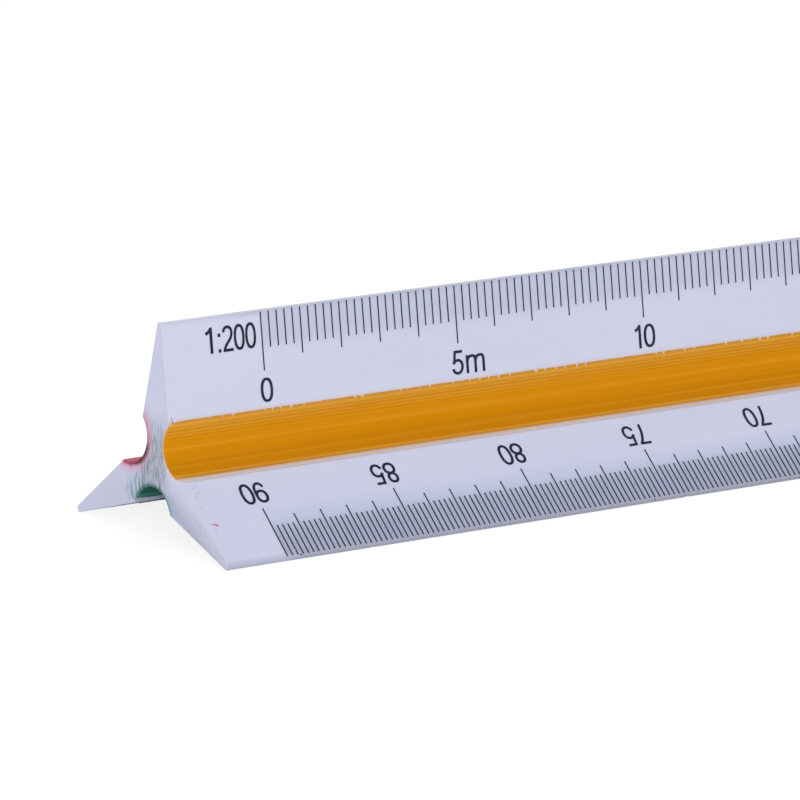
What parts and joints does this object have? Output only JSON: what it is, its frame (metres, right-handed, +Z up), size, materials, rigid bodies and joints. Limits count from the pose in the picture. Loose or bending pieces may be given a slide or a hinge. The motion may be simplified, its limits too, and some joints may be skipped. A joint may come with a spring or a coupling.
{
  "type": "triangular scale ruler",
  "caption": "Triangular drawing scale: a straight white plastic bar of Y section, with a coloured groove in each side and a printed reduction scale on every bevelled face.",
  "frame": {"origin": "centre of the bounding box in plan, on the plane of the two lower edges that the ruler rests on", "axes": "+X along the ruler towards the far sawn end, -Y towards the front side with the yellow groove and the 1:200 and 1:300 scales, +Z up along the upright arm"},
  "size_m": [0.3198, 0.0262, 0.0227],
  "materials": {
    "white_plastic": "satin, faint lengthwise drawing lines, sawn ends",
    "yellow_paint": "satin amber yellow coat in the groove",
    "red_paint": "satin red coat in the groove",
    "green_paint": "satin deep green coat in the groove",
    "black_ink": "matt blue-black print"
  },
  "bodies": {
    "root": {"ruler_body": "white_plastic", "yellow_groove_coat": "yellow_paint", "red_groove_coat": "red_paint", "green_groove_coat": "green_paint", "scale_1_100_print": "black_ink", "scale_1_200_print": "black_ink", "scale_1_250_print": "black_ink", "scale_1_300_print": "black_ink", "scale_1_400_print": "black_ink", "scale_1_500_print": "black_ink"}
  },
  "joints": []
}
